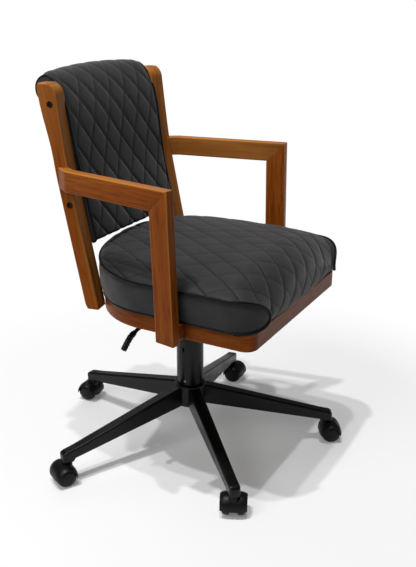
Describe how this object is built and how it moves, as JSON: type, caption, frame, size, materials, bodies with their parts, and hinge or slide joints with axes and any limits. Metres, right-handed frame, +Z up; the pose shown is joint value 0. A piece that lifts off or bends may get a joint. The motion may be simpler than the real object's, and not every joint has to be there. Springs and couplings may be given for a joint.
{
  "type": "swivel armchair",
  "caption": "Wooden-armed swivel chair for a games table: quilted black seat and back, gas lift and a caster base.",
  "frame": {"origin": "on the floor, under the swivel axis of the column", "axes": "+Z up along the swivel axis; the sitter faces -Y; +X is the sitter's left side"},
  "size_m": [0.6663, 0.671, 0.8477],
  "materials": {
    "wood": "brown stain, satin lacquer",
    "plywood": "bare plywood",
    "leather": "black diamond-quilted leather with piping",
    "base_paint": "black powder coat",
    "mechanism_steel": "black paint",
    "bright_steel": "bright steel",
    "black_bolt": "black oxide",
    "nylon": "black moulded nylon"
  },
  "bodies": {
    "base": {"base_hub": "base_paint", "base_leg_1": "base_paint", "base_leg_2": "base_paint", "base_leg_3": "base_paint", "base_leg_4": "base_paint", "base_leg_5": "base_paint", "column_tube": "mechanism_steel", "column_sleeve": "base_paint", "guide_bush": "nylon"},
    "piston": {"piston_rod": "bright_steel"},
    "seat": {"gas_cylinder": "bright_steel", "swivel_housing": "mechanism_steel", "seat_plate": "mechanism_steel", "plate_bolt_1": "bright_steel", "plate_bolt_2": "bright_steel", "plate_bolt_3": "bright_steel", "plate_bolt_4": "bright_steel", "lever_pin": "bright_steel", "seat_board": "plywood", "seat_rail_front": "wood", "seat_rail_back": "wood", "seat_cushion": "leather", "arm_spacer_right": "wood", "arm_spacer_left": "wood", "arm_post_right": "wood", "arm_post_left": "wood", "arm_rail_right": "wood", "arm_rail_left": "wood", "stile_right": "wood", "stile_left": "wood", "back_bolt_right_lower": "black_bolt", "back_bolt_right_upper": "black_bolt", "back_bolt_left_lower": "black_bolt", "back_bolt_left_upper": "black_bolt", "back_board": "plywood", "back_cushion": "leather", "back_cover": "leather"},
    "lever": {"lever_rod": "mechanism_steel", "lever_grip": "nylon"},
    "valve": {"release_pin": "bright_steel"},
    "caster_1": {"caster_housing_1": "nylon", "caster_stem_1": "bright_steel"},
    "wheel_1a": {"caster_wheel_1a": "nylon"},
    "wheel_1b": {"caster_wheel_1b": "nylon"},
    "caster_2": {"caster_housing_2": "nylon", "caster_stem_2": "bright_steel"},
    "wheel_2a": {"caster_wheel_2a": "nylon"},
    "wheel_2b": {"caster_wheel_2b": "nylon"},
    "caster_3": {"caster_housing_3": "nylon", "caster_stem_3": "bright_steel"},
    "wheel_3a": {"caster_wheel_3a": "nylon"},
    "wheel_3b": {"caster_wheel_3b": "nylon"},
    "caster_4": {"caster_housing_4": "nylon", "caster_stem_4": "bright_steel"},
    "wheel_4a": {"caster_wheel_4a": "nylon"},
    "wheel_4b": {"caster_wheel_4b": "nylon"},
    "caster_5": {"caster_housing_5": "nylon", "caster_stem_5": "bright_steel"},
    "wheel_5a": {"caster_wheel_5a": "nylon"},
    "wheel_5b": {"caster_wheel_5b": "nylon"}
  },
  "joints": [
    {"name": "swivel", "type": "hinge", "parent": "base", "child": "piston", "pos_m": [0, 0, 0.103], "axis": [0, 0, 1], "continuous": true},
    {"name": "seat_height", "type": "slide", "parent": "piston", "child": "seat", "axis": [0, 0, 1], "range_m": [0, 0.09]},
    {"name": "lever_lift", "type": "hinge", "parent": "seat", "child": "lever", "pos_m": [-0.03, 0, 0.351], "axis": [0, 1, 0], "range_deg": [0, 8]},
    {"name": "valve_press", "type": "slide", "parent": "seat", "child": "valve", "axis": [0, 0, -1], "range_m": [0, 0.0044]},
    {"name": "caster_swivel_1", "type": "hinge", "parent": "base", "child": "caster_1", "pos_m": [0.14716, -0.28077, 0.048], "axis": [0, 0, 1], "continuous": true},
    {"name": "wheel_spin_1a", "type": "hinge", "parent": "caster_1", "child": "wheel_1a", "pos_m": [0.15246, -0.28925, 0.0225], "axis": [0.848, 0.5299, 0], "continuous": true},
    {"name": "wheel_spin_1b", "type": "hinge", "parent": "caster_1", "child": "wheel_1b", "pos_m": [0.15246, -0.28925, 0.0225], "axis": [0.848, 0.5299, 0], "continuous": true},
    {"name": "caster_swivel_2", "type": "hinge", "parent": "base", "child": "caster_2", "pos_m": [0.3125, 0.05319, 0.048], "axis": [0, 0, 1], "continuous": true},
    {"name": "wheel_spin_2a", "type": "hinge", "parent": "caster_2", "child": "wheel_2a", "pos_m": [0.31285, 0.0432, 0.0225], "axis": [0.9994, 0.0349, 0], "continuous": true},
    {"name": "wheel_spin_2b", "type": "hinge", "parent": "caster_2", "child": "wheel_2b", "pos_m": [0.31285, 0.0432, 0.0225], "axis": [0.9994, 0.0349, 0], "continuous": true},
    {"name": "caster_swivel_3", "type": "hinge", "parent": "base", "child": "caster_3", "pos_m": [0.04598, 0.31365, 0.048], "axis": [0, 0, 1], "continuous": true},
    {"name": "wheel_spin_3a", "type": "hinge", "parent": "caster_3", "child": "wheel_3a", "pos_m": [0.0458, 0.32365, 0.0225], "axis": [-0.9998, -0.0175, 0], "continuous": true},
    {"name": "wheel_spin_3b", "type": "hinge", "parent": "caster_3", "child": "wheel_3b", "pos_m": [0.0458, 0.32365, 0.0225], "axis": [-0.9998, -0.0175, 0], "continuous": true},
    {"name": "caster_swivel_4", "type": "hinge", "parent": "base", "child": "caster_4", "pos_m": [-0.28409, 0.14065, 0.048], "axis": [0, 0, 1], "continuous": true},
    {"name": "wheel_spin_4a", "type": "hinge", "parent": "caster_4", "child": "wheel_4a", "pos_m": [-0.29283, 0.1455, 0.0225], "axis": [-0.4848, -0.8746, 0], "continuous": true},
    {"name": "wheel_spin_4b", "type": "hinge", "parent": "caster_4", "child": "wheel_4b", "pos_m": [-0.29283, 0.1455, 0.0225], "axis": [-0.4848, -0.8746, 0], "continuous": true},
    {"name": "caster_swivel_5", "type": "hinge", "parent": "base", "child": "caster_5", "pos_m": [-0.22156, -0.22672, 0.048], "axis": [0, 0, 1], "continuous": true},
    {"name": "wheel_spin_5a", "type": "hinge", "parent": "caster_5", "child": "wheel_5a", "pos_m": [-0.21249, -0.22249, 0.0225], "axis": [-0.4226, 0.9063, 0], "continuous": true},
    {"name": "wheel_spin_5b", "type": "hinge", "parent": "caster_5", "child": "wheel_5b", "pos_m": [-0.21249, -0.22249, 0.0225], "axis": [-0.4226, 0.9063, 0], "continuous": true}
  ],
  "couplings": [
    {"joint": "valve_press", "follows": "lever_lift", "m_per_rad": 0.0315}
  ]
}
